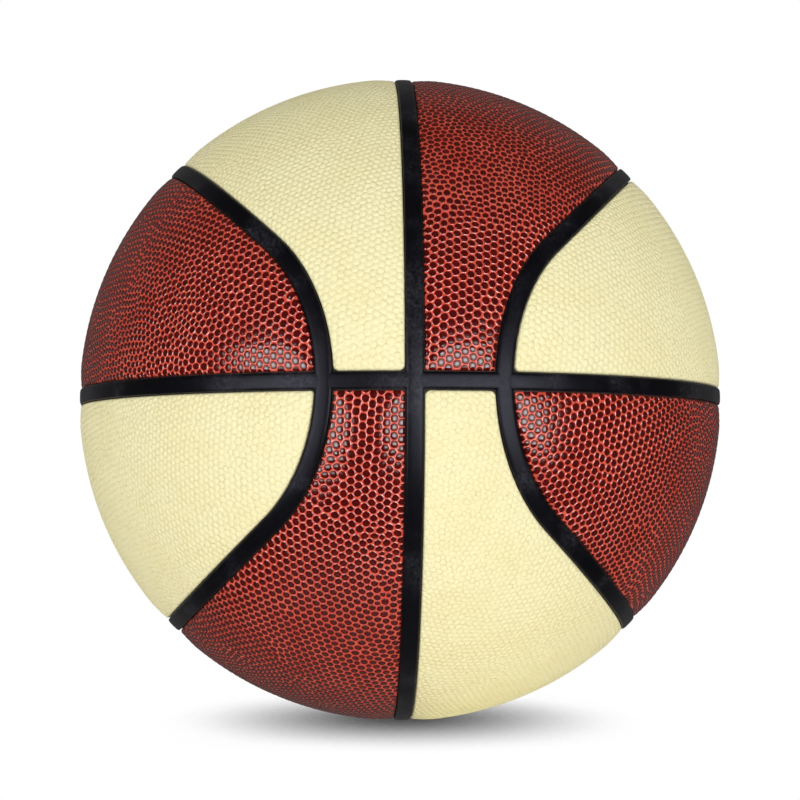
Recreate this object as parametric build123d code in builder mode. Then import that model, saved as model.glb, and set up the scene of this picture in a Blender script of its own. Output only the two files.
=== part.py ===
import os
from math import asin, atan2, cos, degrees, radians, sin, sqrt
from build123d import *

# Driving dimensions, in millimetres and degrees.
# The centre of the ball is the origin. The meridian seam lies in the YZ plane and the
# equator seam in the XY plane. Their front crossing faces -Y and the valve faces -X.
ball_diameter = 242.0

# The wall, from the outside in
panel_thickness = 1.8
carcass_wall = 1.3
winding_wall = 0.5
bladder_wall = 0.8
glue_line = 0.2

# The seams
channel_width = 6.3
loop_tilt = 45.0
loop_bend_radius = 60.0
strip_side_gap = 0.3
strip_butt_gap = 0.12
strip_crown_height = 0.9
strip_drop = 0.1

# The panel edges, which are skived to a bevel along every seam
panel_corner_radius = 1.2
panel_bevel = 0.6

# The valve
eyelet_diameter = 11.5
eyelet_edge_radius = 0.5
plug_head_diameter = 6.2
plug_body_diameter = 5.0
plug_length = 19.0
plug_recess = 0.3
plug_tip_chamfer = 0.8
head_length = 3.4
head_clearance = 0.2
plug_clearance = 0.05
needle_diameter = 2.2
needle_depth = 9.0
lead_in_diameter = 3.2
lead_in_depth = 0.8
collar_diameter = 9.2
flange_diameter = 30.0
flange_thickness = 1.5
neck_root_diameter = 11.0
neck_tip_diameter = 8.6
neck_length = 13.0

# Every cut runs this far past the face it goes through
overrun = 2.0

# Radii of the layers
ball_radius = ball_diameter / 2
panel_inner = ball_radius - panel_thickness
carcass_outer = panel_inner - glue_line
carcass_inner = carcass_outer - carcass_wall
winding_outer = carcass_inner - glue_line
winding_inner = winding_outer - winding_wall
bladder_outer = winding_inner - glue_line
bladder_inner = bladder_outer - bladder_wall

# The strip is narrower than its channel by the gap on each side
strip_width = channel_width - 2 * strip_side_gap
strip_top = ball_radius - strip_drop
strip_shoulder = strip_top - strip_crown_height
strip_base = panel_inner
keep_out_width = strip_width + 2 * strip_butt_gap

# Each loop follows a great circle through the Y axis, tilted from the equator. Near the
# front and back it leaves that circle on a tangent bend and crosses the equator squarely.
centre = Vector(0, 0, 0)
tilt = radians(loop_tilt)
bend_angle = loop_bend_radius / ball_radius
bend_bearing = asin(sin(bend_angle) / cos(tilt))
crossing_bearing = bend_bearing - bend_angle
bend_axis = Vector(sin(bend_bearing), -cos(bend_bearing), 0)
tilted_axis = Vector(cos(tilt), 0, -sin(tilt))
crossing_point = Vector(sin(crossing_bearing), -cos(crossing_bearing), 0)
tilted_summit = Vector(sin(tilt), 0, cos(tilt))
join_point = (bend_axis - tilted_axis * bend_axis.dot(tilted_axis)).normalized()


def turn_between(axis, start, finish):
    """Angle from start to finish about an axis, right-handed, in degrees."""
    across = start - axis * start.dot(axis)
    along = axis.cross(across)
    return degrees(atan2(finish.dot(along), finish.dot(across)))


def seam_plane(axis, start):
    """Plane across a seam: X runs over its width and Y runs out from the ball's centre."""
    travel = axis.cross(start).normalized()
    return Plane(origin=centre, x_dir=start.cross(travel), z_dir=travel * -1)


def square_section(plane, width):
    """Section of a cut through the cover, even in width from the bottom to the top."""
    bottom = panel_inner - overrun
    top = ball_radius + overrun
    with BuildSketch(plane) as section:
        with BuildLine():
            Polyline(
                (-width / 2, bottom),
                (width / 2, bottom),
                (width / 2, top),
                (-width / 2, top),
                close=True,
            )
        make_face()
    return section.sketch


def channel_section(plane):
    return square_section(plane, channel_width)


def bevel_section(plane):
    """The same channel with its mouth opened out, to bevel the panels on both sides."""
    bottom = panel_inner - overrun
    mouth = sqrt(ball_radius**2 - (channel_width / 2) ** 2) - panel_bevel
    spread = panel_bevel + overrun
    with BuildSketch(plane) as section:
        with BuildLine():
            Polyline(
                (-channel_width / 2, bottom),
                (channel_width / 2, bottom),
                (channel_width / 2, mouth),
                (channel_width / 2 + spread, mouth + spread),
                (-channel_width / 2 - spread, mouth + spread),
                (-channel_width / 2, mouth),
                close=True,
            )
        make_face()
    return section.sketch


def keep_out_section(plane):
    return square_section(plane, keep_out_width)


def crowned_section(plane):
    """Section of a strip: square sides and a crowned top."""
    with BuildSketch(plane) as section:
        with BuildLine():
            Polyline(
                (-strip_width / 2, strip_shoulder),
                (-strip_width / 2, strip_base),
                (strip_width / 2, strip_base),
                (strip_width / 2, strip_shoulder),
            )
            ThreePointArc(
                (strip_width / 2, strip_shoulder),
                (0, strip_top),
                (-strip_width / 2, strip_shoulder),
            )
        make_face()
    return section.sketch


def seam_ring(axis, start, section):
    """A section carried all the way round the ball."""
    profile = section(seam_plane(axis, start))
    with BuildPart() as ring:
        revolve(profile.faces(), axis=Axis(centre, axis))
    return ring.part


def loop_seam(section):
    """The right loop: a quarter of it, mirrored up and down and then front to back."""
    bend_turn = turn_between(bend_axis, crossing_point, join_point)
    tilted_turn = turn_between(tilted_axis, join_point, tilted_summit)
    bend_profile = section(seam_plane(bend_axis, crossing_point))
    tilted_profile = section(seam_plane(tilted_axis, join_point))
    with BuildPart() as loop:
        for profile, axis, turn in (
            (bend_profile, bend_axis, bend_turn),
            (tilted_profile, tilted_axis, tilted_turn),
        ):
            onward = axis if turn > 0 else axis * -1
            revolve(profile.faces(), axis=Axis(centre, onward), revolution_arc=abs(turn))
        mirror(about=Plane.XY)
        mirror(about=Plane.XZ)
    return loop.part


right = Vector(1, 0, 0)
front = Vector(0, -1, 0)
up = Vector(0, 0, 1)
valve_axis = Axis((0, 0, 0), (-1, 0, 0))
valve_face = Plane(origin=(-ball_radius - overrun, 0, 0), x_dir=(0, 1, 0), z_dir=(-1, 0, 0))
valve_section = Plane(origin=(0, 0, 0), x_dir=(-1, 0, 0), z_dir=(0, 0, 1))
valve_cut = ball_radius - bladder_inner + 2 * overrun
collar_hole_radius = collar_diameter / 2 + glue_line
eyelet_hole_radius = plug_head_diameter / 2 + head_clearance
eyelet_notch_radius = eyelet_diameter / 2 + strip_side_gap


os.makedirs("parts", exist_ok=True)

# The closed layers of the wall, open only where the valve goes through them
for layer_name, layer_outer, layer_inner in (
    ("carcass", carcass_outer, carcass_inner),
    ("winding", winding_outer, winding_inner),
    ("bladder", bladder_outer, bladder_inner),
):
    with BuildPart() as wall_layer:
        Sphere(layer_outer)
        Sphere(layer_inner, mode=Mode.SUBTRACT)
        with Locations(valve_face):
            Hole(radius=collar_hole_radius, depth=valve_cut)
    wall_layer.part.label = layer_name
    export_step(wall_layer.part, f"parts/{layer_name}.step")

# The cover is one shell, parted into eight panels by the channels. The surface join of
# the shell is turned into the meridian channel, so that no panel has it.
meridian_channel = seam_ring(right, front, channel_section)
equator_channel = seam_ring(up, front, channel_section)
right_loop_channel = loop_seam(channel_section)
left_loop_channel = right_loop_channel.mirror(Plane.YZ)
with BuildPart() as cover:
    Sphere(ball_radius, rotation=(0, 0, 90))
    Sphere(panel_inner, rotation=(0, 0, 90), mode=Mode.SUBTRACT)
    add(meridian_channel, mode=Mode.SUBTRACT)
    add(equator_channel, mode=Mode.SUBTRACT)
    add(right_loop_channel, mode=Mode.SUBTRACT)
    add(left_loop_channel, mode=Mode.SUBTRACT)
    with Locations(valve_face):
        Hole(radius=eyelet_notch_radius, depth=panel_thickness + 2 * overrun)


def panel_name(solid):
    middle = solid.center(CenterOf.MASS)
    side = "right" if middle.X > 0 else "left"
    height = "upper" if middle.Z > 0 else "lower"
    place = "side" if abs(middle.X) > abs(middle.Z) else "band"
    return f"{side}_{place}_{height}_panel"


meridian_mouth = seam_ring(right, front, bevel_section)
equator_mouth = seam_ring(up, front, bevel_section)
right_loop_mouth = loop_seam(bevel_section)
left_loop_mouth = right_loop_mouth.mirror(Plane.YZ)
corner_reach = channel_width / 2 + panel_bevel
for cut_panel in cover.solids():
    name = panel_name(cut_panel)
    loop_mouth = right_loop_mouth if name.startswith("right") else left_loop_mouth
    with BuildPart() as panel:
        add(cut_panel)
        short_edges = panel.edges().filter_by(lambda edge: edge.length < 2 * panel_thickness)
        corners = short_edges.filter_by(lambda edge: abs(edge.center().Z) < corner_reach)
        fillet(corners, panel_corner_radius)
        add(loop_mouth, mode=Mode.SUBTRACT)
        add(equator_mouth, mode=Mode.SUBTRACT)
        if "band" in name:
            add(meridian_mouth, mode=Mode.SUBTRACT)
    panel.part.label = name
    export_step(panel.part, f"parts/{name}.step")

# The strips that fill the channels
meridian_ring = seam_ring(right, front, crowned_section)
equator_ring = seam_ring(up, front, crowned_section)
right_loop = loop_seam(crowned_section)
for loop_name, loop_shape in (
    ("meridian_strip", meridian_ring),
    ("right_loop_strip", right_loop),
    ("left_loop_strip", right_loop.mirror(Plane.YZ)),
):
    with BuildPart() as closed_strip:
        add(loop_shape)
    closed_strip.part.label = loop_name
    export_step(closed_strip.part, f"parts/{loop_name}.step")

# The equator strip is laid last, in six lengths butted against the others
meridian_keep_out = seam_ring(right, front, keep_out_section)
right_loop_keep_out = loop_seam(keep_out_section)
left_loop_keep_out = right_loop_keep_out.mirror(Plane.YZ)
with BuildPart() as equator:
    add(equator_ring)
    add(meridian_keep_out, mode=Mode.SUBTRACT)
    add(right_loop_keep_out, mode=Mode.SUBTRACT)
    add(left_loop_keep_out, mode=Mode.SUBTRACT)


def strip_name(solid):
    middle = solid.center(CenterOf.MASS)
    side = "right" if middle.X > 0 else "left"
    if abs(middle.X) > abs(middle.Y):
        return f"{side}_equator_strip"
    end = "front" if middle.Y < 0 else "back"
    return f"{end}_{side}_bridge_strip"


for cut_strip in equator.solids():
    name = strip_name(cut_strip)
    with BuildPart() as strip:
        add(cut_strip)
        if name == "left_equator_strip":
            with BuildSketch(valve_section):
                with BuildLine():
                    Polyline(
                        (strip_top, 0),
                        (strip_base, 0),
                        (strip_base, eyelet_diameter / 2),
                        (strip_shoulder + eyelet_edge_radius, eyelet_diameter / 2),
                        (strip_top, eyelet_diameter / 2 - eyelet_edge_radius),
                        close=True,
                    )
                make_face()
            revolve(axis=valve_axis)
            with Locations(valve_face):
                Hole(radius=eyelet_hole_radius, depth=panel_thickness + 2 * overrun)
    strip.part.label = name
    export_step(strip.part, f"parts/{name}.step")

# The valve, drawn along its own axis out from the ball's centre
plug_top = strip_top - plug_recess
plug_tip = plug_top - plug_length
head_seat = plug_top - head_length
needle_bottom = plug_top - lead_in_depth - needle_depth
flange_top = bladder_inner - glue_line
flange_bottom = flange_top - flange_thickness
neck_tip = flange_bottom - neck_length
collar_top = carcass_outer


def on_layer(layer_radius, reach):
    """Point of a sphere at a distance from the valve axis."""
    return (layer_radius * cos(asin(reach / layer_radius)), reach)


with BuildPart() as valve_plug:
    with BuildSketch(valve_section):
        with BuildLine():
            Polyline(
                (plug_tip, 0),
                (plug_tip, plug_body_diameter / 2 - plug_tip_chamfer),
                (plug_tip + plug_tip_chamfer, plug_body_diameter / 2),
                (head_seat, plug_body_diameter / 2),
                (head_seat, plug_head_diameter / 2),
                (plug_top, plug_head_diameter / 2),
                (plug_top, lead_in_diameter / 2),
                (plug_top - lead_in_depth, needle_diameter / 2),
                (needle_bottom, needle_diameter / 2),
                (needle_bottom, 0),
                close=True,
            )
        make_face()
    revolve(axis=valve_axis)
valve_plug.part.label = "valve_plug"
export_step(valve_plug.part, "parts/valve_plug.step")

bore_radius = plug_body_diameter / 2 + plug_clearance
counterbore_radius = plug_head_diameter / 2 + plug_clearance
seat_depth = head_seat - plug_clearance
flange_reach = flange_diameter / 2
half_reach = (flange_reach + collar_diameter / 2) / 2
neck_reach = neck_root_diameter / 2
with BuildPart() as valve_housing:
    with BuildSketch(valve_section):
        with BuildLine():
            Polyline(
                on_layer(flange_bottom, neck_reach),
                (neck_tip, neck_tip_diameter / 2),
                (neck_tip, bore_radius),
                (seat_depth, bore_radius),
                (seat_depth, counterbore_radius),
                (collar_top, counterbore_radius),
                (collar_top, collar_diameter / 2),
                on_layer(flange_top, collar_diameter / 2),
            )
            ThreePointArc(
                on_layer(flange_top, collar_diameter / 2),
                on_layer(flange_top, half_reach),
                on_layer(flange_top, flange_reach),
            )
            Line(on_layer(flange_top, flange_reach), on_layer(flange_bottom, flange_reach))
            ThreePointArc(
                on_layer(flange_bottom, flange_reach),
                on_layer(flange_bottom, half_reach),
                on_layer(flange_bottom, neck_reach),
            )
        make_face()
    revolve(axis=valve_axis)
valve_housing.part.label = "valve_housing"
export_step(valve_housing.part, "parts/valve_housing.step")
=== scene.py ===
import bpy
import bmesh
import numpy as np
from math import asin, atan2, cos, pi, radians, sin
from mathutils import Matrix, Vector


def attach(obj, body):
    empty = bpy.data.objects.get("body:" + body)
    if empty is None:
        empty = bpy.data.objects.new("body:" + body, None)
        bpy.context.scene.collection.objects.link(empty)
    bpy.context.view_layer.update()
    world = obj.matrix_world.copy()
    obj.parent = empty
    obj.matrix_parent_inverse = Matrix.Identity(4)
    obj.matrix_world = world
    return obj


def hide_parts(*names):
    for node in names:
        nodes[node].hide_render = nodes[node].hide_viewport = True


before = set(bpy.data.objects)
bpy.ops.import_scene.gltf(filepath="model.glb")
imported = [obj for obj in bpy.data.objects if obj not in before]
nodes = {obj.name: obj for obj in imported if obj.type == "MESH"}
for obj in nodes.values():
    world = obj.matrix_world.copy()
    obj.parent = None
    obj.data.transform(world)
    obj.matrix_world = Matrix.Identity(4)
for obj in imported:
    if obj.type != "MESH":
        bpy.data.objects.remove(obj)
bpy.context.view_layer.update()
print("frame loaded:", len(nodes), "nodes")

ball = {"radius": 0.121, "panelInner": 0.1192}  # metres, as in the solids
tiny = 1e-12  # keeps a division away from zero


def clearSelection():
    if bpy.context.object and bpy.context.object.mode != "OBJECT":
        bpy.ops.object.mode_set(mode="OBJECT")
    bpy.ops.object.select_all(action="DESELECT")


def makeActive(piece):
    clearSelection()
    piece.select_set(True)
    bpy.context.view_layer.objects.active = piece


def editAll(piece, mode="FACE"):
    makeActive(piece)
    bpy.ops.object.mode_set(mode="EDIT")
    bpy.ops.mesh.select_mode(type=mode)
    bpy.ops.mesh.select_all(action="SELECT")


# where the seams run, for panels and strips alike
seam = {
    "width": 0.0063, "bevel": 0.0006,
    "tilt": radians(45), "bendRadius": 0.060,  # how a loop leans over the top, and bends at the equator
    "eyelet": 0.00605,  # radius of the gap round the valve
    "corner": 0.0005, "softCorner": 0.0013,
    "elsewhere": -0.02,  # reach of points on the other half of the ball
}
softCorners = ("right_side_upper_panel", "right_band_lower_panel", "left_band_upper_panel")
bendAngle = seam["bendRadius"] / ball["radius"]
bendBearing = asin(sin(bendAngle) / cos(seam["tilt"]))
bendAxis = np.array([sin(bendBearing), -cos(bendBearing), 0])
bendFront = np.array([-cos(bendBearing), -sin(bendBearing), 0])  # from the bend's axis to the front crossing
tiltedAxis = np.array([cos(seam["tilt"]), 0, -sin(seam["tilt"])])
joinPoint = bendAxis - tiltedAxis * bendAxis.dot(tiltedAxis)
joinPoint = joinPoint / np.linalg.norm(joinPoint)  # where the bend runs into the leaning part
joinTurn = atan2(joinPoint[2], joinPoint.dot(bendFront))


def unit(points):
    return points / np.linalg.norm(points, axis=1)[:, None]


def arc(sine):
    return np.arcsin(np.clip(sine, -1, 1)) * ball["radius"]


def loopReach(points):
    # signed distance over the surface from a loop's middle line, positive on the side panels
    p = unit(np.abs(points) * (1, -1, 1))
    tilted = arc(p @ tiltedAxis)
    bend = (bendAngle - np.arccos(np.clip(p @ bendAxis, -1, 1))) * ball["radius"]
    turn = np.arctan2(p[:, 2], p @ bendFront)
    return np.where(turn < joinTurn, bend, tilted)


def roundedCorner(a, b, radius):
    inner = radius - np.hypot(np.minimum(a - radius, 0), np.minimum(b - radius, 0))
    return np.where(np.minimum(a, b) > radius, np.minimum(a, b), inner)


def panelReach(points, name, inset):
    # how far inside a panel's edge each point lies, over the surface
    side = 1 if name.startswith("right") else -1
    high = 1 if "upper" in name else -1
    p = unit(points)
    fromEquator = arc(p[:, 2] * high) - inset
    fromMeridian = arc(p[:, 0] * side) - inset
    fromLoop = loopReach(p)
    radius = seam["softCorner"] if name in softCorners else seam["corner"]
    if "band" in name:
        return roundedCorner(fromEquator, np.minimum(fromMeridian, -fromLoop - inset), radius)
    reach = roundedCorner(fromEquator, fromLoop - inset, radius)
    reach = np.where(fromMeridian > 0, reach, seam["elsewhere"])
    if side < 0:
        eyelet = np.hypot(p[:, 1], p[:, 2]) * ball["radius"] - seam["eyelet"] - (inset - seam["width"] / 2)
        reach = np.where(p[:, 0] < 0, np.minimum(reach, eyelet), reach)
    return reach


# a net of irregular cells over the whole ball for each colour, cut up for the panels
net = {
    "subdivisions": 3, "turn": (0.35, 0.6, 0.9), "seed": 5,
    "smooth": 0.5, "smoothTimes": 2, "rounds": 10,
    "thinRounds": (3, 6), "crowded": 0.55,  # when points go, and how little of the usual room they have
    "split": 0.0015,  # a longer side gets a point in its middle
    "brown": {"cuts": 12, "jitter": 0.0011, "clamp": 0.0008, "merge": 0.00045},
    "cream": {"cuts": 15, "jitter": 0.0009, "clamp": 0.00065, "merge": 0.00036},
    "liningSubdivisions": 5,
}


def onBall(piece):
    spots = np.empty(len(piece.data.vertices) * 3)
    piece.data.vertices.foreach_get("co", spots)
    spots = spots.reshape(-1, 3)
    spots *= ball["radius"] / np.linalg.norm(spots, axis=1)[:, None]
    piece.data.vertices.foreach_set("co", spots.ravel())
    piece.data.update()


def evenOut(piece, clamp):
    # each point moves to the middle of the patch that lies nearest to it
    onBall(piece)
    spots = np.array([v.co for v in piece.data.vertices])
    corners = np.empty(len(piece.data.loops), dtype=int)
    piece.data.loops.foreach_get("vertex_index", corners)
    corners = corners.reshape(-1, 3)
    a, b, c = (spots[corners[:, k]] for k in range(3))
    face = np.cross(b - a, c - a)
    size = (face ** 2).sum(1)[:, None]
    middle = a + (np.cross(face, b - a) * ((c - a) ** 2).sum(1)[:, None]
                  + np.cross(c - a, face) * ((b - a) ** 2).sum(1)[:, None]) / (2 * size)
    up = face / np.sqrt(size)
    centre = (a + b + c) / 3
    away = middle - centre
    shorten = np.minimum(1, clamp / np.maximum(np.linalg.norm(away, axis=1), tiny))
    middle = centre + away * shorten[:, None]
    pull, total = np.zeros_like(spots), np.zeros(len(spots))
    for k in range(3):
        own, after, before = (spots[corners[:, (k + j) % 3]] for j in range(3))
        for first, second in (((own + after) / 2, middle), (middle, (own + before) / 2)):
            share = (np.cross(first - own, second - own) * up).sum(1)
            np.add.at(pull, corners[:, k], (own + first + second) / 3 * share[:, None])
            np.add.at(total, corners[:, k], share)
    spots = pull / total[:, None]
    piece.data.vertices.foreach_set("co", spots.ravel())
    piece.data.update()
    onBall(piece)


def turnEdges():
    bpy.ops.mesh.beautify_fill(angle_limit=radians(180))  # until the triangles are even


def dropCrowded(piece):
    # a point with hardly any room of its own goes
    editAll(piece, "VERT")
    bpy.ops.mesh.select_all(action="DESELECT")
    bpy.ops.object.mode_set(mode="OBJECT")
    room = np.zeros(len(piece.data.vertices))
    for face in piece.data.polygons:
        for corner in face.vertices:
            room[corner] += face.area
    enough = net["crowded"] * room.mean()
    for vert, own in zip(piece.data.vertices, room):
        vert.select = bool(own < enough)
    bpy.ops.object.mode_set(mode="EDIT")
    bpy.ops.mesh.dissolve_verts()
    editAll(piece)
    bpy.ops.mesh.quads_convert_to_tris()
    turnEdges()
    bpy.ops.object.mode_set(mode="OBJECT")


def cellsFromPoints():
    group = bpy.data.node_groups.new("cellsFromPoints", "GeometryNodeTree")
    for way in ("INPUT", "OUTPUT"):
        group.interface.new_socket("Geometry", in_out=way, socket_type="NodeSocketGeometry")
    start = group.nodes.new("NodeGroupInput")
    dual = group.nodes.new("GeometryNodeDualMesh")
    end = group.nodes.new("NodeGroupOutput")
    group.links.new(start.outputs[0], dual.inputs[0])
    group.links.new(dual.outputs[0], end.inputs[0])
    return group


def makeNet(colour):
    grain = net[colour]
    clearSelection()
    bpy.ops.mesh.primitive_ico_sphere_add(
        subdivisions=net["subdivisions"], radius=ball["radius"], rotation=net["turn"])
    bpy.ops.object.transform_apply(location=True, rotation=True, scale=True)
    cells = bpy.context.object
    cells.name = colour + "Net"
    editAll(cells)
    bpy.ops.mesh.subdivide(number_cuts=grain["cuts"])
    bpy.ops.object.mode_set(mode="OBJECT")
    onBall(cells)
    editAll(cells)
    bpy.ops.transform.vertex_random(offset=grain["jitter"], uniform=1, normal=0, seed=net["seed"])
    turnEdges()
    bpy.ops.mesh.vertices_smooth(factor=net["smooth"], repeat=net["smoothTimes"])
    for turn in range(net["rounds"]):
        bpy.ops.object.mode_set(mode="OBJECT")
        if turn in net["thinRounds"]:
            dropCrowded(cells)
        if turn:
            evenOut(cells, grain["clamp"])
        onBall(cells)
        editAll(cells)
        turnEdges()
    bpy.ops.object.mode_set(mode="OBJECT")
    swap = cells.modifiers.new("cells", "NODES")
    swap.node_group = cellsFromPoints()
    bpy.ops.object.modifier_apply(modifier=swap.name)
    mesh = bmesh.new()
    mesh.from_mesh(cells.data)
    bmesh.ops.remove_doubles(mesh, verts=mesh.verts[:], dist=grain["merge"])  # a very short side folds when inset
    bmesh.ops.bisect_edges(mesh, edges=[e for e in mesh.edges if e.calc_length() > net["split"]], cuts=1)
    mesh.to_mesh(cells.data)
    mesh.free()
    onBall(cells)
    print(colour, "net of", len(cells.data.polygons), "cells")
    return cells


nets = {colour: makeNet(colour) for colour in ("brown", "cream")}

clearSelection()
bpy.ops.mesh.primitive_ico_sphere_add(subdivisions=net["liningSubdivisions"], radius=ball["panelInner"])
lining = bpy.context.object  # coarse sphere for the undersides

cut = {"halvings": 18, "nearEnd": 0.001}  # how closely a cut follows its line


def trim(mesh, reachOf):
    # leaves the part of a mesh where the reach is positive, cut cleanly where it is zero
    reach = mesh.verts.layers.float.new("reach")
    spots = np.array([v.co for v in mesh.verts])
    for vert, value in zip(mesh.verts, reachOf(spots)):
        vert[reach] = value
    outside = [f for f in mesh.faces if all(v[reach] <= 0 for v in f.verts)]
    bmesh.ops.delete(mesh, geom=outside, context="FACES")
    crossing = [e for e in mesh.edges if e.verts[0][reach] * e.verts[1][reach] < 0]
    low = np.array([(e.verts[0] if e.verts[0][reach] < 0 else e.verts[1]).co for e in crossing])
    high = np.array([(e.verts[0] if e.verts[0][reach] > 0 else e.verts[1]).co for e in crossing])
    for halving in range(cut["halvings"]):
        middle = (low + high) / 2
        inside = reachOf(middle)[:, None] > 0
        low, high = np.where(inside, low, middle), np.where(inside, middle, high)
    for edge, spot in zip(crossing, (low + high) / 2):
        first = edge.verts[0]
        share = (Vector(spot) - first.co).length / edge.calc_length()
        share = min(max(share, cut["nearEnd"]), 1 - cut["nearEnd"])
        made = bmesh.utils.edge_split(edge, first, share)[1]
        made[reach] = 0
    for face in list(mesh.faces):
        rim = [v for v in face.verts if v[reach] == 0]
        if len(rim) >= 2 and any(v[reach] < 0 for v in face.verts):
            bmesh.utils.face_split(face, rim[0], rim[1])
    outside = [f for f in mesh.faces if any(v[reach] < 0 for v in f.verts)]
    bmesh.ops.delete(mesh, geom=outside, context="FACES")


def outward(points, name, inset):
    # direction over the surface from the panel's middle to its edge, at points of the edge
    step = 1e-5
    slope = np.stack([
        panelReach(points + step * axis, name, inset) - panelReach(points - step * axis, name, inset)
        for axis in np.eye(3)
    ], axis=1)
    normal = unit(points)
    slope -= normal * (slope * normal).sum(1)[:, None]
    return -slope / np.maximum(np.linalg.norm(slope, axis=1)[:, None], tiny)


def rimEdges(mesh):
    return [e for e in mesh.edges if e.is_boundary]


def rimVerts(mesh):
    return sorted({v for e in rimEdges(mesh) for v in e.verts}, key=lambda v: tuple(v.co))  # alike in every run


panelLook = {
    "brown": {"foot": (0.00014, 0.00003), "brow": (0.00026, 0.00032), "usual": 0.00128, "dome": 0.00011},
    "cream": {"foot": (0.00013, 0.00019), "brow": (0.00028, 0.00017), "usual": 0.00103, "dome": 0},
    "rounding": 2,
    "even": 0.6,  # how far a large pebble shrinks to the usual radius
    "room": 0.6,  # how much of its foot a pebble may grow over
    "spare": 0.0001,  # how near to the edge a cell has to come to be used
    "rimStep": 0.00012, "rimShort": 0.00003, "rimCuts": 3,
    "fall": (0.0080, 0.00064, 1.3), "roll": (0.0009, 0.00010),  # how far in, and how deep, the edge falls away
    "rim": ((0.00020, 0.00005, 0.3), (0.00042, 0.00020, 0.7), (0.00056, 0.00042, 1), (0.0006, 0.0007, 1)),
    "rimTip": 0.89,  # height that the finish reads on the rim
    "topSpare": 0.02,
}
panelColours = {
    "right_side_upper_panel": "cream", "right_side_lower_panel": "brown",
    "left_side_upper_panel": "brown", "left_side_lower_panel": "cream",
    "right_band_upper_panel": "brown", "right_band_lower_panel": "cream",
    "left_band_upper_panel": "cream", "left_band_lower_panel": "brown",
}


def meanReach(ring, middle):
    return sum((p - middle).length for p in ring) / len(ring)


def roundPebble(face, look):
    ring = [v.co.copy() for v in face.verts]
    middle = face.calc_center_median()
    wide = meanReach(ring, middle)
    for turn in range(panelLook["rounding"]):
        ring = [p / 2 + (ring[i - 1] + ring[(i + 1) % len(ring)]) / 4 for i, p in enumerate(ring)]
    evened = wide - max(0, wide - look["usual"]) * panelLook["even"]
    grow = evened / meanReach(ring, middle)  # rounding shrinks the ring
    for vert, spot in zip(face.verts, ring):
        arm = (spot - middle) * grow
        room = (vert.co - middle).length + look["foot"][0] * panelLook["room"]  # stays inside its own cell
        vert.co = middle + arm * min(1, room / arm.length)


def raisePebbles(piece, look):
    editAll(piece)
    bpy.ops.mesh.inset(thickness=look["foot"][0], depth=look["foot"][1], use_individual=True)
    bpy.ops.object.mode_set(mode="OBJECT")
    mesh = bmesh.new()
    mesh.from_mesh(piece.data)
    for face in mesh.faces:
        if face.select:
            roundPebble(face, look)
    mesh.to_mesh(piece.data)
    mesh.free()
    bpy.ops.object.mode_set(mode="EDIT")
    bpy.ops.mesh.inset(thickness=look["brow"][0], depth=look["brow"][1], use_individual=True)
    if look["dome"]:
        bpy.ops.mesh.poke(offset=look["dome"])
    bpy.ops.object.mode_set(mode="OBJECT")


def layPebbles(name, colour, inset, floor):
    mesh = bmesh.new()
    mesh.from_mesh(nets[colour].data)
    inside = panelReach(np.array([v.co for v in mesh.verts]), name, inset) > -panelLook["spare"]
    outside = [f for f in mesh.faces if not any(inside[v.index] for v in f.verts)]
    bmesh.ops.delete(mesh, geom=outside, context="FACES")
    for vert in mesh.verts:
        vert.co = vert.co.normalized() * floor
    data = bpy.data.meshes.new(name + "_leather")
    mesh.to_mesh(data)
    mesh.free()
    piece = bpy.data.objects.new(name + "_leather", data)
    bpy.context.collection.objects.link(piece)
    raisePebbles(piece, panelLook[colour])
    return piece


def fillCorners(mesh, name, inset):
    # a straight cut over a whole pebble bends out to the panel's corner
    rim = rimEdges(mesh)
    middles = np.array([(e.verts[0].co + e.verts[1].co) / 2 for e in rim])
    short = panelReach(middles, name, inset) > panelLook["rimShort"]
    straight = [e for e, near in zip(rim, short) if near]
    made = bmesh.ops.bisect_edges(mesh, edges=straight, cuts=panelLook["rimCuts"])["geom_split"]
    added = [v for v in made if isinstance(v, bmesh.types.BMVert)]
    for turn in range(2):
        spots = np.array([v.co for v in added])
        spots = spots + outward(spots, name, inset) * panelReach(spots, name, inset)[:, None]
        for vert, spot in zip(added, spots):
            vert.co = spot


def sinkEdges(mesh, floor, rise):
    # notes how high each point stands on its pebble, then lets the leather fall away to the seams
    reach = mesh.verts.layers.float["reach"]
    tip = mesh.verts.layers.float.new("tip")
    fallReach, fallDepth, fallBend = panelLook["fall"]
    rollReach, rollDepth = panelLook["roll"]
    for vert in mesh.verts:
        high = vert.co.length
        vert[tip] = min(max((high - floor) / rise, 0), 1)
        fall = fallDepth * max(0, 1 - vert[reach] / fallReach) ** fallBend
        roll = rollDepth * max(0, 1 - vert[reach] / rollReach) ** 2
        vert.co = vert.co.normalized() * (high - (fall + roll))
    bmesh.ops.remove_doubles(mesh, verts=rimVerts(mesh), dist=panelLook["rimStep"])
    return floor - fallDepth - rollDepth


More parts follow.
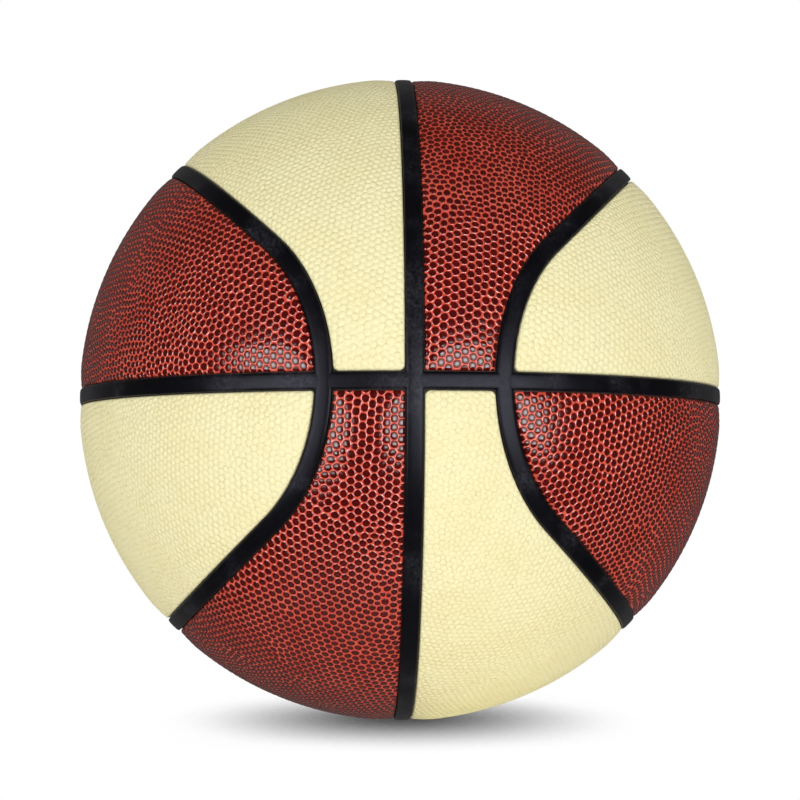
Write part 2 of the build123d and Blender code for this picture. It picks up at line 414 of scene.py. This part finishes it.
def turnDownRim(mesh, name, inset, edgeFloor):
    # over the bevel and down to the underside
    tip = mesh.verts.layers.float["tip"]
    rim = rimEdges(mesh)
    start = rimVerts(mesh)
    heading = dict(zip(start, outward(np.array([v.co for v in start]), name, inset)))
    base = {v: v.co.copy() for v in start}
    ring = {v: v for v in start}  # newest rim vertex to the edge vertex it came from
    wall = (seam["bevel"], edgeFloor - ball["panelInner"], 1)
    for over, down, level in panelLook["rim"] + (wall,):
        made = bmesh.ops.extrude_edge_only(mesh, edges=rim)["geom"]
        rim = [e for e in made if isinstance(e, bmesh.types.BMEdge)]
        fresh = {}
        for vert in (v for v in made if isinstance(v, bmesh.types.BMVert)):
            above = next(e.other_vert(vert) for e in vert.link_edges if e.other_vert(vert) in ring)
            source = fresh[vert] = ring[above]
            spot = base[source] + Vector(heading[source]) * over
            vert.co = spot.normalized() * (base[source].length * (1 - level) + edgeFloor * level - down)
            vert[tip] = min(vert[tip], panelLook["rimTip"]) if level < 1 else panelLook["rimTip"]
        ring = fresh
    return len(start)


def addUnderside(mesh, name):
    under = bmesh.new()
    under.from_mesh(lining.data)
    trim(under, lambda spots: panelReach(spots, name, seam["width"] / 2))
    bmesh.ops.reverse_faces(under, faces=under.faces[:])
    for vert in under.verts:
        vert.co = vert.co.normalized() * ball["panelInner"]
    bottom = bpy.data.meshes.new("underside")
    under.to_mesh(bottom)
    under.free()
    mesh.from_mesh(bottom)
    bpy.data.meshes.remove(bottom)
    bmesh.ops.bridge_loops(mesh, edges=rimEdges(mesh))


def makePanel(name, colour):
    look = panelLook[colour]
    inset = seam["width"] / 2 + seam["bevel"]
    rise = look["foot"][1] + look["brow"][1] + look["dome"]
    floor = ball["radius"] - rise
    piece = layPebbles(name, colour, inset, floor)
    mesh = bmesh.new()
    mesh.from_mesh(piece.data)
    trim(mesh, lambda spots: panelReach(spots, name, inset))
    fillCorners(mesh, name, inset)
    edgeFloor = sinkEdges(mesh, floor, rise)
    rimCount = turnDownRim(mesh, name, inset, edgeFloor)
    addUnderside(mesh, name)
    for face in mesh.faces:
        face.smooth = True
    if look["dome"]:  # a crisp edge round each brown top
        tip = mesh.verts.layers.float["tip"]
        top = 1 - look["dome"] / rise - panelLook["topSpare"]
        for edge in mesh.edges:
            edge.smooth = len({min(v[tip] for v in f.verts) > top for f in edge.link_faces}) == 1
    mesh.verts.layers.float.remove(mesh.verts.layers.float["reach"])
    mesh.to_mesh(piece.data)
    print(name, "open edges", len(rimEdges(mesh)), "rim", rimCount)
    mesh.free()
    return piece


# rubber strips, one cross-section spun along every seam
strip = {
    "half": (  # from the middle of the crown to the foot: sideways, and distance from the ball's centre
        (0.0, 0.12078), (0.0009, 0.12077), (0.0017, 0.12074), (0.0023, 0.12065), (0.00262, 0.12050),
        (0.00280, 0.12028), (0.00285, 0.12004), (0.00285, 0.1192),
    ),
    "butt": 0.00006, "stepsPerTurn": 280, "fewestSteps": 4,
    "weld": 1e-6, "mirrorWeld": 1e-5, "crease": radians(50),
    "arcs": {  # degrees round the equator: where each begins and how far it runs, before its ends are cut
        "right_equator_strip": (-84, 168), "left_equator_strip": (96, 168),
        "front_right_bridge_strip": (-90, 25), "front_left_bridge_strip": (-115, 25),
        "back_right_bridge_strip": (65, 25), "back_left_bridge_strip": (90, 25),
    },
    "eyelet": (  # out from the valve's axis, and distance from the ball's centre
        (0.0033, 0.1192), (0.0033, 0.12052), (0.00345, 0.12075), (0.0038, 0.12086), (0.0048, 0.12084),
        (0.0054, 0.12070), (0.0057, 0.12046), (0.00575, 0.1201), (0.00575, 0.1192),
    ),
    "eyeletSteps": 72, "eyeletLap": 0.0001,
}
crossSection = [(-s, r) for s, r in reversed(strip["half"][1:])] + list(strip["half"])


def startStrip(name, axis, front, opening):
    # the cross-section stands on a cone round the axis, in the plane of axis and front
    clearSelection()
    bpy.ops.mesh.primitive_circle_add(vertices=len(crossSection), fill_type="NOTHING")
    piece = bpy.context.object
    piece.name = piece.data.name = name
    for vert, (aside, high) in zip(piece.data.vertices, crossSection):
        angle = opening + aside / ball["radius"]
        vert.co = (Vector(axis) * cos(angle) + Vector(front) * sin(angle)) * high
    editAll(piece, "VERT")
    return piece


def spinOn(angle, axis):
    steps = max(strip["fewestSteps"], round(abs(angle) / radians(360) * strip["stepsPerTurn"]))
    bpy.ops.mesh.spin(steps=steps, angle=-angle, center=(0, 0, 0), axis=axis)  # spin turns clockwise


def closeUp(piece):
    editAll(piece, "VERT")
    bpy.ops.mesh.remove_doubles(threshold=strip["weld"])
    bpy.ops.mesh.normals_make_consistent(inside=False)
    bpy.ops.object.mode_set(mode="OBJECT")
    bpy.ops.object.shade_smooth_by_angle(angle=strip["crease"])
    return piece


def cutEnds(piece, reachOf):
    mesh = bmesh.new()
    mesh.from_mesh(piece.data)
    trim(mesh, reachOf)
    bmesh.ops.holes_fill(mesh, edges=rimEdges(mesh), sides=0)
    mesh.verts.layers.float.remove(mesh.verts.layers.float["reach"])
    mesh.to_mesh(piece.data)
    mesh.free()


def mirrored(piece, name, axis):
    makeActive(piece)
    bpy.ops.object.duplicate()
    copy = bpy.context.object
    copy.name = copy.data.name = name
    copy.scale[axis] = -1
    bpy.ops.object.transform_apply(location=True, rotation=True, scale=True)
    return copy


def makeMeridian():
    piece = startStrip("meridian_strip_rubber", (1, 0, 0), (0, -1, 0), radians(90))
    spinOn(radians(360), (1, 0, 0))
    return closeUp(piece)


def makeLoop():
    piece = startStrip("right_loop_strip_rubber", bendAxis, bendFront, bendAngle)
    apex = np.array([sin(seam["tilt"]), 0, cos(seam["tilt"])])
    half = float(np.arccos(joinPoint.dot(apex)))
    spinOn(-joinTurn, bendAxis)
    spinOn(-2 * half, tiltedAxis)
    spinOn(-joinTurn, bendAxis * (1, -1, 1))
    bpy.ops.object.mode_set(mode="OBJECT")
    other = piece.modifiers.new("lowerHalf", "MIRROR")
    other.use_axis = (False, False, True)
    other.merge_threshold = strip["mirrorWeld"]
    bpy.ops.object.modifier_apply(modifier=other.name)
    return closeUp(piece)


def makeArc(name, reachOf):
    start, turn = (radians(angle) for angle in strip["arcs"][name])
    piece = startStrip(name + "_rubber", (0, 0, 1), (cos(start), sin(start), 0), radians(90))
    spinOn(turn, (0, 0, 1))
    bpy.ops.object.mode_set(mode="OBJECT")
    cutEnds(piece, reachOf)
    return closeUp(piece)


def makeEyelet():
    clearSelection()
    bpy.ops.mesh.primitive_circle_add(vertices=len(strip["eyelet"]), fill_type="NOTHING")
    piece = bpy.context.object
    for vert, (out, high) in zip(piece.data.vertices, strip["eyelet"]):
        vert.co = (-high, out, 0)
    editAll(piece, "VERT")
    bpy.ops.mesh.spin(steps=strip["eyeletSteps"], angle=radians(360), center=(0, 0, 0), axis=(1, 0, 0))
    return closeUp(piece)


def clearOf(spots):
    # a strip's end is cut to lie against the rounded flank of the strip it meets
    flank = [(high, aside) for aside, high in reversed(strip["half"][2:-1])]
    return np.interp(np.linalg.norm(spots, axis=1), *zip(*flank)) + strip["butt"]


def sideReach(spots):
    return loopReach(spots) - clearOf(spots)


def bridgeReach(spots):
    return np.minimum(-loopReach(spots), arc(np.abs(unit(spots)[:, 0]))) - clearOf(spots)


def valveSideReach(spots):
    eyeletEdge = np.hypot(spots[:, 1], spots[:, 2]) - strip["eyelet"][-1][0] + strip["eyeletLap"]
    return np.minimum(sideReach(spots), np.where(spots[:, 0] < 0, eyeletEdge, 1))


def makeStrips():
    made = {"meridian_strip": makeMeridian()}
    made["right_loop_strip"] = makeLoop()
    made["left_loop_strip"] = closeUp(mirrored(made["right_loop_strip"], "left_loop_strip_rubber", 0))
    made["right_equator_strip"] = makeArc("right_equator_strip", sideReach)
    made["left_equator_strip"] = makeArc("left_equator_strip", valveSideReach)
    eyelet = makeEyelet()
    makeActive(made["left_equator_strip"])
    eyelet.select_set(True)
    bpy.ops.object.join()
    for name in strip["arcs"]:
        if "bridge" in name:
            made[name] = makeArc(name, bridgeReach)
    return made


strips = makeStrips()
print("strips:", sum(len(f.vertices) - 2 for piece in strips.values() for f in piece.data.polygons), "triangles")


class Wire:
    def __init__(self, paint, socket):
        self.paint, self.socket = paint, socket

    def do(self, operation, first, second):
        return self.paint.node("ShaderNodeMath", {"operation": operation}, {0: first, 1: second})

    def __add__(self, other): return self.do("ADD", self, other)
    def __radd__(self, other): return self.do("ADD", other, self)
    def __sub__(self, other): return self.do("SUBTRACT", self, other)
    def __rsub__(self, other): return self.do("SUBTRACT", other, self)
    def __mul__(self, other): return self.do("MULTIPLY", self, other)
    def __rmul__(self, other): return self.do("MULTIPLY", other, self)


class Paint:
    def __init__(self, tree):
        self.tree = tree
        self.place = self.node("ShaderNodeTexCoord", {}, {}, "Object")

    def plug(self, socket, value):
        if isinstance(value, Wire):
            self.tree.links.new(value.socket, socket)
        else:
            socket.default_value = value

    def node(self, kind, settings, values, output=0):
        made = self.tree.nodes.new(kind)
        for key, value in settings.items():
            setattr(made, key, value)
        for key, value in values.items():
            self.plug(made.inputs[key], value)
        return Wire(self, made.outputs[output])

    def noise(self, scale, detail=2.0, rough=0.5):
        return self.node("ShaderNodeTexNoise", {},
                         {"Vector": self.place, "Scale": scale, "Detail": detail, "Roughness": rough})

    def remap(self, value, low, high, to=(0.0, 1.0), kind="SMOOTHSTEP"):
        ends = {"From Min": low, "From Max": high, "To Min": to[0], "To Max": to[1]}
        return self.node("ShaderNodeMapRange", {"interpolation_type": kind}, {"Value": value, **ends})

    def patches(self, scale, detail, low, high, rough=0.5):
        return self.remap(self.noise(scale, detail, rough), low, high)

    def uneven(self, scale, to):
        return self.remap(self.noise(scale, 3), 0.3, 0.7, to, "LINEAR")

    def blend(self, share, first, second):
        return self.node("ShaderNodeMix", {"data_type": "RGBA"}, {0: share, 6: first, 7: second}, 2)

    def larger(self, first, second):
        return self.node("ShaderNodeMath", {"operation": "MAXIMUM"}, {0: first, 1: second})

    def bump(self, height, strength, distance):
        return self.node("ShaderNodeBump", {}, {"Height": height, "Strength": strength, "Distance": distance})

    def ray(self, kind):
        return self.node("ShaderNodeLightPath", {}, {}, "Is " + kind + " Ray")

    def pebbleHeight(self):
        return self.node("ShaderNodeAttribute", {"attribute_name": "tip"}, {}, "Fac")

    def finish(self, sockets):
        shader = self.tree.nodes["Principled BSDF"]
        for name, value in sockets.items():
            self.plug(shader.inputs[name], value)


def newMaterial(name):
    material = bpy.data.materials.new(name)
    material.use_nodes = True
    return material, Paint(material.node_tree)


def rgb(*levels):
    # screen colour to the renderer's own scale
    shares = (level / 255 for level in levels)
    return tuple(c / 12.92 if c <= 0.04045 else ((c + 0.055) / 1.055) ** 2.4 for c in shares) + (1.0,)


def brownLeather():
    look = {
        "top": rgb(68, 2, 1), "topWarm": rgb(88, 4, 2), "topPatches": (420, 2, 0.4, 0.65),
        "ground": rgb(230, 95, 75), "groundDeep": rgb(218, 79, 59), "groundPatches": (90, 3, 0.35, 0.65),
        "flank": (0.07, 0.46),  # heights on a pebble's side where the ground's colour gives way to the top's
        "ragged": 0.22, "raggedGrain": 2600,  # and how unevenly it does
        "glintFoot": (0.008, 0.05), "glintTop": (0.81, 0.92), "topGloss": 0.6,  # heights where the coat lies
        "roughness": (0.10, 0.15), "shineGrain": 900, "grain": 5200, "grainDepth": (0.15, 0.00005),
    }
    material, paint = newMaterial("brownLeather")
    height = paint.pebbleHeight()
    ragged = (paint.noise(look["raggedGrain"], 2) - 0.5) * look["ragged"]
    tip = paint.remap(height + ragged, *look["flank"])
    ground = paint.blend(paint.patches(*look["groundPatches"]), look["groundDeep"], look["ground"])
    top = paint.blend(paint.patches(*look["topPatches"]), look["top"], look["topWarm"])
    footGlint = paint.remap(height, *look["glintFoot"]) * (1 - tip)
    paint.finish({
        "Base Color": paint.blend(tip, ground, top),
        "Roughness": paint.uneven(look["shineGrain"], look["roughness"]),
        "Specular IOR Level": 0.22, "IOR": 2.0,
        "Sheen Weight": 0.1, "Sheen Roughness": 0.5, "Sheen Tint": (1.0, 0.5, 0.4, 1.0),
        "Coat Weight": footGlint + paint.remap(height, *look["glintTop"]) * look["topGloss"],
        "Coat Roughness": 0.12, "Coat IOR": 2.6,
        "Normal": paint.bump(paint.noise(look["grain"], 3, 0.6), *look["grainDepth"]),
    })
    return material


def creamLeather():
    look = {
        "top": rgb(248, 240, 191), "shade": rgb(246, 237, 185), "topPatches": (60, 3, 0.35, 0.65),
        # the groove colour is painted shade, darker low between the pebbles where relief shade falls
        "paintedGrooveShade": rgb(234, 224, 170), "grooveEnd": 0.6,
        # the painted shade lines between pebbles come and go with these patches
        "broken": 0.5, "breaks": (480, 2, 0.42, 0.58),  # the lines between pebbles come and go
        "roughness": (0.30, 0.42), "shineGrain": 800, "grain": 1250, "grainDepth": (1.0, 0.0004),
    }
    material, paint = newMaterial("creamLeather")
    broken = paint.patches(*look["breaks"]) * look["broken"]
    tip = paint.remap(paint.pebbleHeight() + broken, 0.0, look["grooveEnd"])
    top = paint.blend(paint.patches(*look["topPatches"]), look["shade"], look["top"])
    paint.finish({
        # painted shade in the grooves blends into the top colour up each pebble's side
        "Base Color": paint.blend(tip, look["paintedGrooveShade"], top),
        "Roughness": paint.uneven(look["shineGrain"], look["roughness"]),
        "Normal": paint.bump(paint.noise(look["grain"]), *look["grainDepth"]),
    })
    return material


def seamRubber():
    look = {
        "black": rgb(9, 9, 13), "dusty": rgb(56, 56, 62),
        "smudges": (55, 3, 0.46, 0.72), "specks": (850, 5, 0.33, 0.80, 0.7),  # chalk lies as specks in smudges
        "roughness": (0.28, 0.38), "shineGrain": 700, "grain": 3200, "grainDepth": (0.3, 0.0001),
    }
    material, paint = newMaterial("seamRubber")
    dust = paint.patches(*look["smudges"]) * paint.patches(*look["specks"])
    paint.finish({
        "Base Color": paint.blend(dust, look["black"], look["dusty"]),
        "Roughness": paint.uneven(look["shineGrain"], look["roughness"]),
        "Specular IOR Level": 0.36, "Specular Tint": (0.8, 0.8, 1.0, 1.0),
        "Normal": paint.bump(paint.noise(look["grain"], 3, 0.6), *look["grainDepth"]),
    })
    return material


def plainRubber(name, dark, pale, scale):
    material, paint = newMaterial(name)
    paint.finish({
        "Base Color": paint.blend(paint.patches(scale, 4, 0.35, 0.7), dark, pale),
        "Roughness": paint.uneven(scale * 8, (0.5, 0.7)),
        "Normal": paint.bump(paint.noise(scale * 30, 2), 0.3, 0.0001),
    })
    return material


def windingYarn():
    # the shade colour is painted shade, darker where the wraps dip between strands
    look = {"shade": rgb(150, 140, 118), "yarn": rgb(226, 219, 200), "roughness": (0.9, 0.7), "wrapScale": 420.0,
            "turns": ((0.2, 0.4, 0.0), (1.1, -0.6, 0.9), (-0.7, 0.9, 2.0))}
    material, paint = newMaterial("windingYarn")
    wraps = 0.0
    for turn in look["turns"]:
        turned = paint.node("ShaderNodeMapping", {}, {"Vector": paint.place, "Rotation": turn})
        lay = paint.node("ShaderNodeTexWave", {"wave_type": "BANDS", "wave_profile": "SIN"},
                         {"Vector": turned, "Scale": look["wrapScale"], "Distortion": 1.5, "Detail": 1.0})
        wraps = paint.larger(wraps, lay)
    paint.finish({
        # colour follows the wraps: painted shade in the dips, the yarn's own colour on the crests
        "Base Color": paint.blend(wraps, look["shade"], look["yarn"]),
        "Roughness": paint.remap(wraps, 0, 1, look["roughness"], "LINEAR"),
        "Normal": paint.bump(wraps, 0.6, 0.0003),
    })
    return material


finishes = {"brown": brownLeather(), "cream": creamLeather(), "strip": seamRubber()}
hiddenFinishes = {
    "carcass": plainRubber("carcassRubber", rgb(44, 41, 38), rgb(62, 58, 53), 40),
    "winding": windingYarn(),
    "bladder": plainRubber("bladderRubber", rgb(24, 24, 26), rgb(40, 40, 43), 30),
    "valve_housing": plainRubber("housingRubber", rgb(30, 30, 31), rgb(48, 47, 46), 120),
    "valve_plug": plainRubber("plugRubber", rgb(26, 26, 28), rgb(44, 43, 44), 200),
}


def dress(piece, material):
    piece.data.materials.clear()
    piece.data.materials.append(material)


for name, colour in panelColours.items():
    piece = makePanel(name, colour)
    dress(piece, finishes[colour])
    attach(piece, "ball")
    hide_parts(name)
    print(name, "has", sum(len(f.vertices) - 2 for f in piece.data.polygons), "triangles")
for spare in (*nets.values(), lining):
    bpy.data.objects.remove(spare)
for name, piece in strips.items():
    dress(piece, finishes["strip"])
    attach(piece, "ball")
    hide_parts(name)
for name, node in nodes.items():
    if name in hiddenFinishes:
        dress(node, hiddenFinishes[name])
    elif name in strips:
        dress(node, finishes["strip"])
    elif name in panelColours:
        dress(node, finishes[panelColours[name]])
print("finishes on")

studio = {
    "camera": Vector((-0.0393, -0.9979, -0.0522)) * 0.664, "lens": 77.88, "sensor": 36,
    "boxes": (  # bearing, height angle, width, height, brightness
        (-41.4, -4, 0.565, 0.60, 2.76),
        (22.5, -4, 0.88, 0.60, 2.88),
    ),
    "boxDistance": 1.1,
    "around": 0.395, "above": 0.17, "aboveFrom": (-0.1, 0.5), "aroundGloss": 0.015,
    # floorGlow is the floor's own glow, painted light that lights the ball from below
    "floorSize": 8, "floor": 0.85, "floorGlow": 0.32,
    # floorGain and floorDeep shape the painted contact shadow that the camera sees on the floor
    "floorGain": 2.25, "floorDeep": 0.07,  # how the contact shadow fades
    "floorShade": 1.0, "floorShadeRays": 16,
    "card": 0.11, "cardFrom": (75, 45), "table": 0.08, "tableFrom": (-45, -65),  # degrees over which they begin
}


def lookAt(thing, target):
    thing.rotation_euler = (Vector(target) - thing.location).to_track_quat("-Z", "Y").to_euler()


def addSoftbox(bearing, rise, width, height, brightness):
    a, e = radians(bearing), radians(rise)
    way = Vector((sin(a) * cos(e), -cos(a) * cos(e), sin(e)))
    clearSelection()
    bpy.ops.object.light_add(type="AREA", location=way * studio["boxDistance"])
    box = bpy.context.object
    box.data.shape, box.data.size, box.data.size_y = "RECTANGLE", width, height
    box.data.energy = brightness * width * height * pi  # watts that give the brightness
    lookAt(box, (0, 0, 0))


def addFloor():
    clearSelection()
    bpy.ops.mesh.primitive_plane_add(size=studio["floorSize"])
    floor = bpy.context.object
    floor.name = "studioFloor"
    for vert in floor.data.vertices:
        vert.co.z = -ball["radius"]
    floor.visible_shadow = False  # the boxes reach below it
    floor.visible_glossy = False  # the surround holds its reflection
    material, paint = newMaterial("studioFloor")
    # the camera sees the floor as emission dimmed by occlusion near the ball: a painted contact shadow
    openSky = paint.node("ShaderNodeAmbientOcclusion", {"samples": studio["floorShadeRays"]},
                         {"Distance": studio["floorShade"]}, "AO")
    fading = openSky * studio["floorGain"] + studio["floorDeep"]
    level = paint.node("ShaderNodeMath", {"operation": "MINIMUM"}, {0: fading, 1: 1.0})
    white = paint.node("ShaderNodeEmission", {}, {"Strength": level})
    matt = paint.node("ShaderNodeBsdfDiffuse", {}, {"Color": (studio["floor"],) * 3 + (1,)})
    # for diffuse rays the floor glows, lighting the ball from below though it is no lamp
    tableLight = paint.ray("Diffuse") * studio["floorGlow"]
    glow = paint.node("ShaderNodeEmission", {}, {"Strength": tableLight})
    lit = paint.node("ShaderNodeAddShader", {}, {0: matt, 1: glow})
    mixed = paint.node("ShaderNodeMixShader", {}, {0: paint.ray("Camera"), 1: lit, 2: white})
    paint.plug(paint.tree.nodes["Material Output"].inputs["Surface"], mixed)
    dress(floor, material)


def addSurround():
    world = bpy.data.worlds.new("studio")
    bpy.context.scene.world = world
    world.use_nodes = True
    paint = Paint(world.node_tree)
    way = paint.node("ShaderNodeTexCoord", {}, {}, "Generated")
    back = paint.node("ShaderNodeSeparateXYZ", {}, {0: way}, "Y")
    up = paint.node("ShaderNodeSeparateXYZ", {}, {0: way}, "Z")
    cardEnds = (cos(radians(angle)) for angle in studio["cardFrom"])
    tableEnds = (sin(radians(angle)) for angle in studio["tableFrom"])
    card = paint.remap(back, *cardEnds, (0.0, studio["card"]))  # the white card behind the ball
    table = paint.remap(up, *tableEnds, (0.0, studio["table"]))  # and the table under it
    mirror = paint.larger(paint.ray("Glossy"), paint.ray("Transmission"))
    soft = studio["around"] + paint.remap(up, *studio["aboveFrom"]) * studio["above"]
    room = soft + (studio["aroundGloss"] - soft) * mirror
    lit = room + (card + table) * mirror
    level = lit + (1 - lit) * paint.ray("Camera")
    background = paint.tree.nodes["Background"]
    paint.plug(background.inputs["Strength"], level)
    paint.plug(background.inputs["Color"], (1, 1, 1, 1))


def makeStudio():
    clearSelection()
    bpy.ops.object.camera_add(location=studio["camera"])
    camera = bpy.context.object
    camera.data.lens, camera.data.sensor_width = studio["lens"], studio["sensor"]
    lookAt(camera, (0, 0, 0))
    bpy.context.scene.camera = camera
    for box in studio["boxes"]:
        addSoftbox(*box)
    addFloor()
    addSurround()
    bpy.context.scene.view_settings.view_transform = "Standard"


makeStudio()
print("studio set")
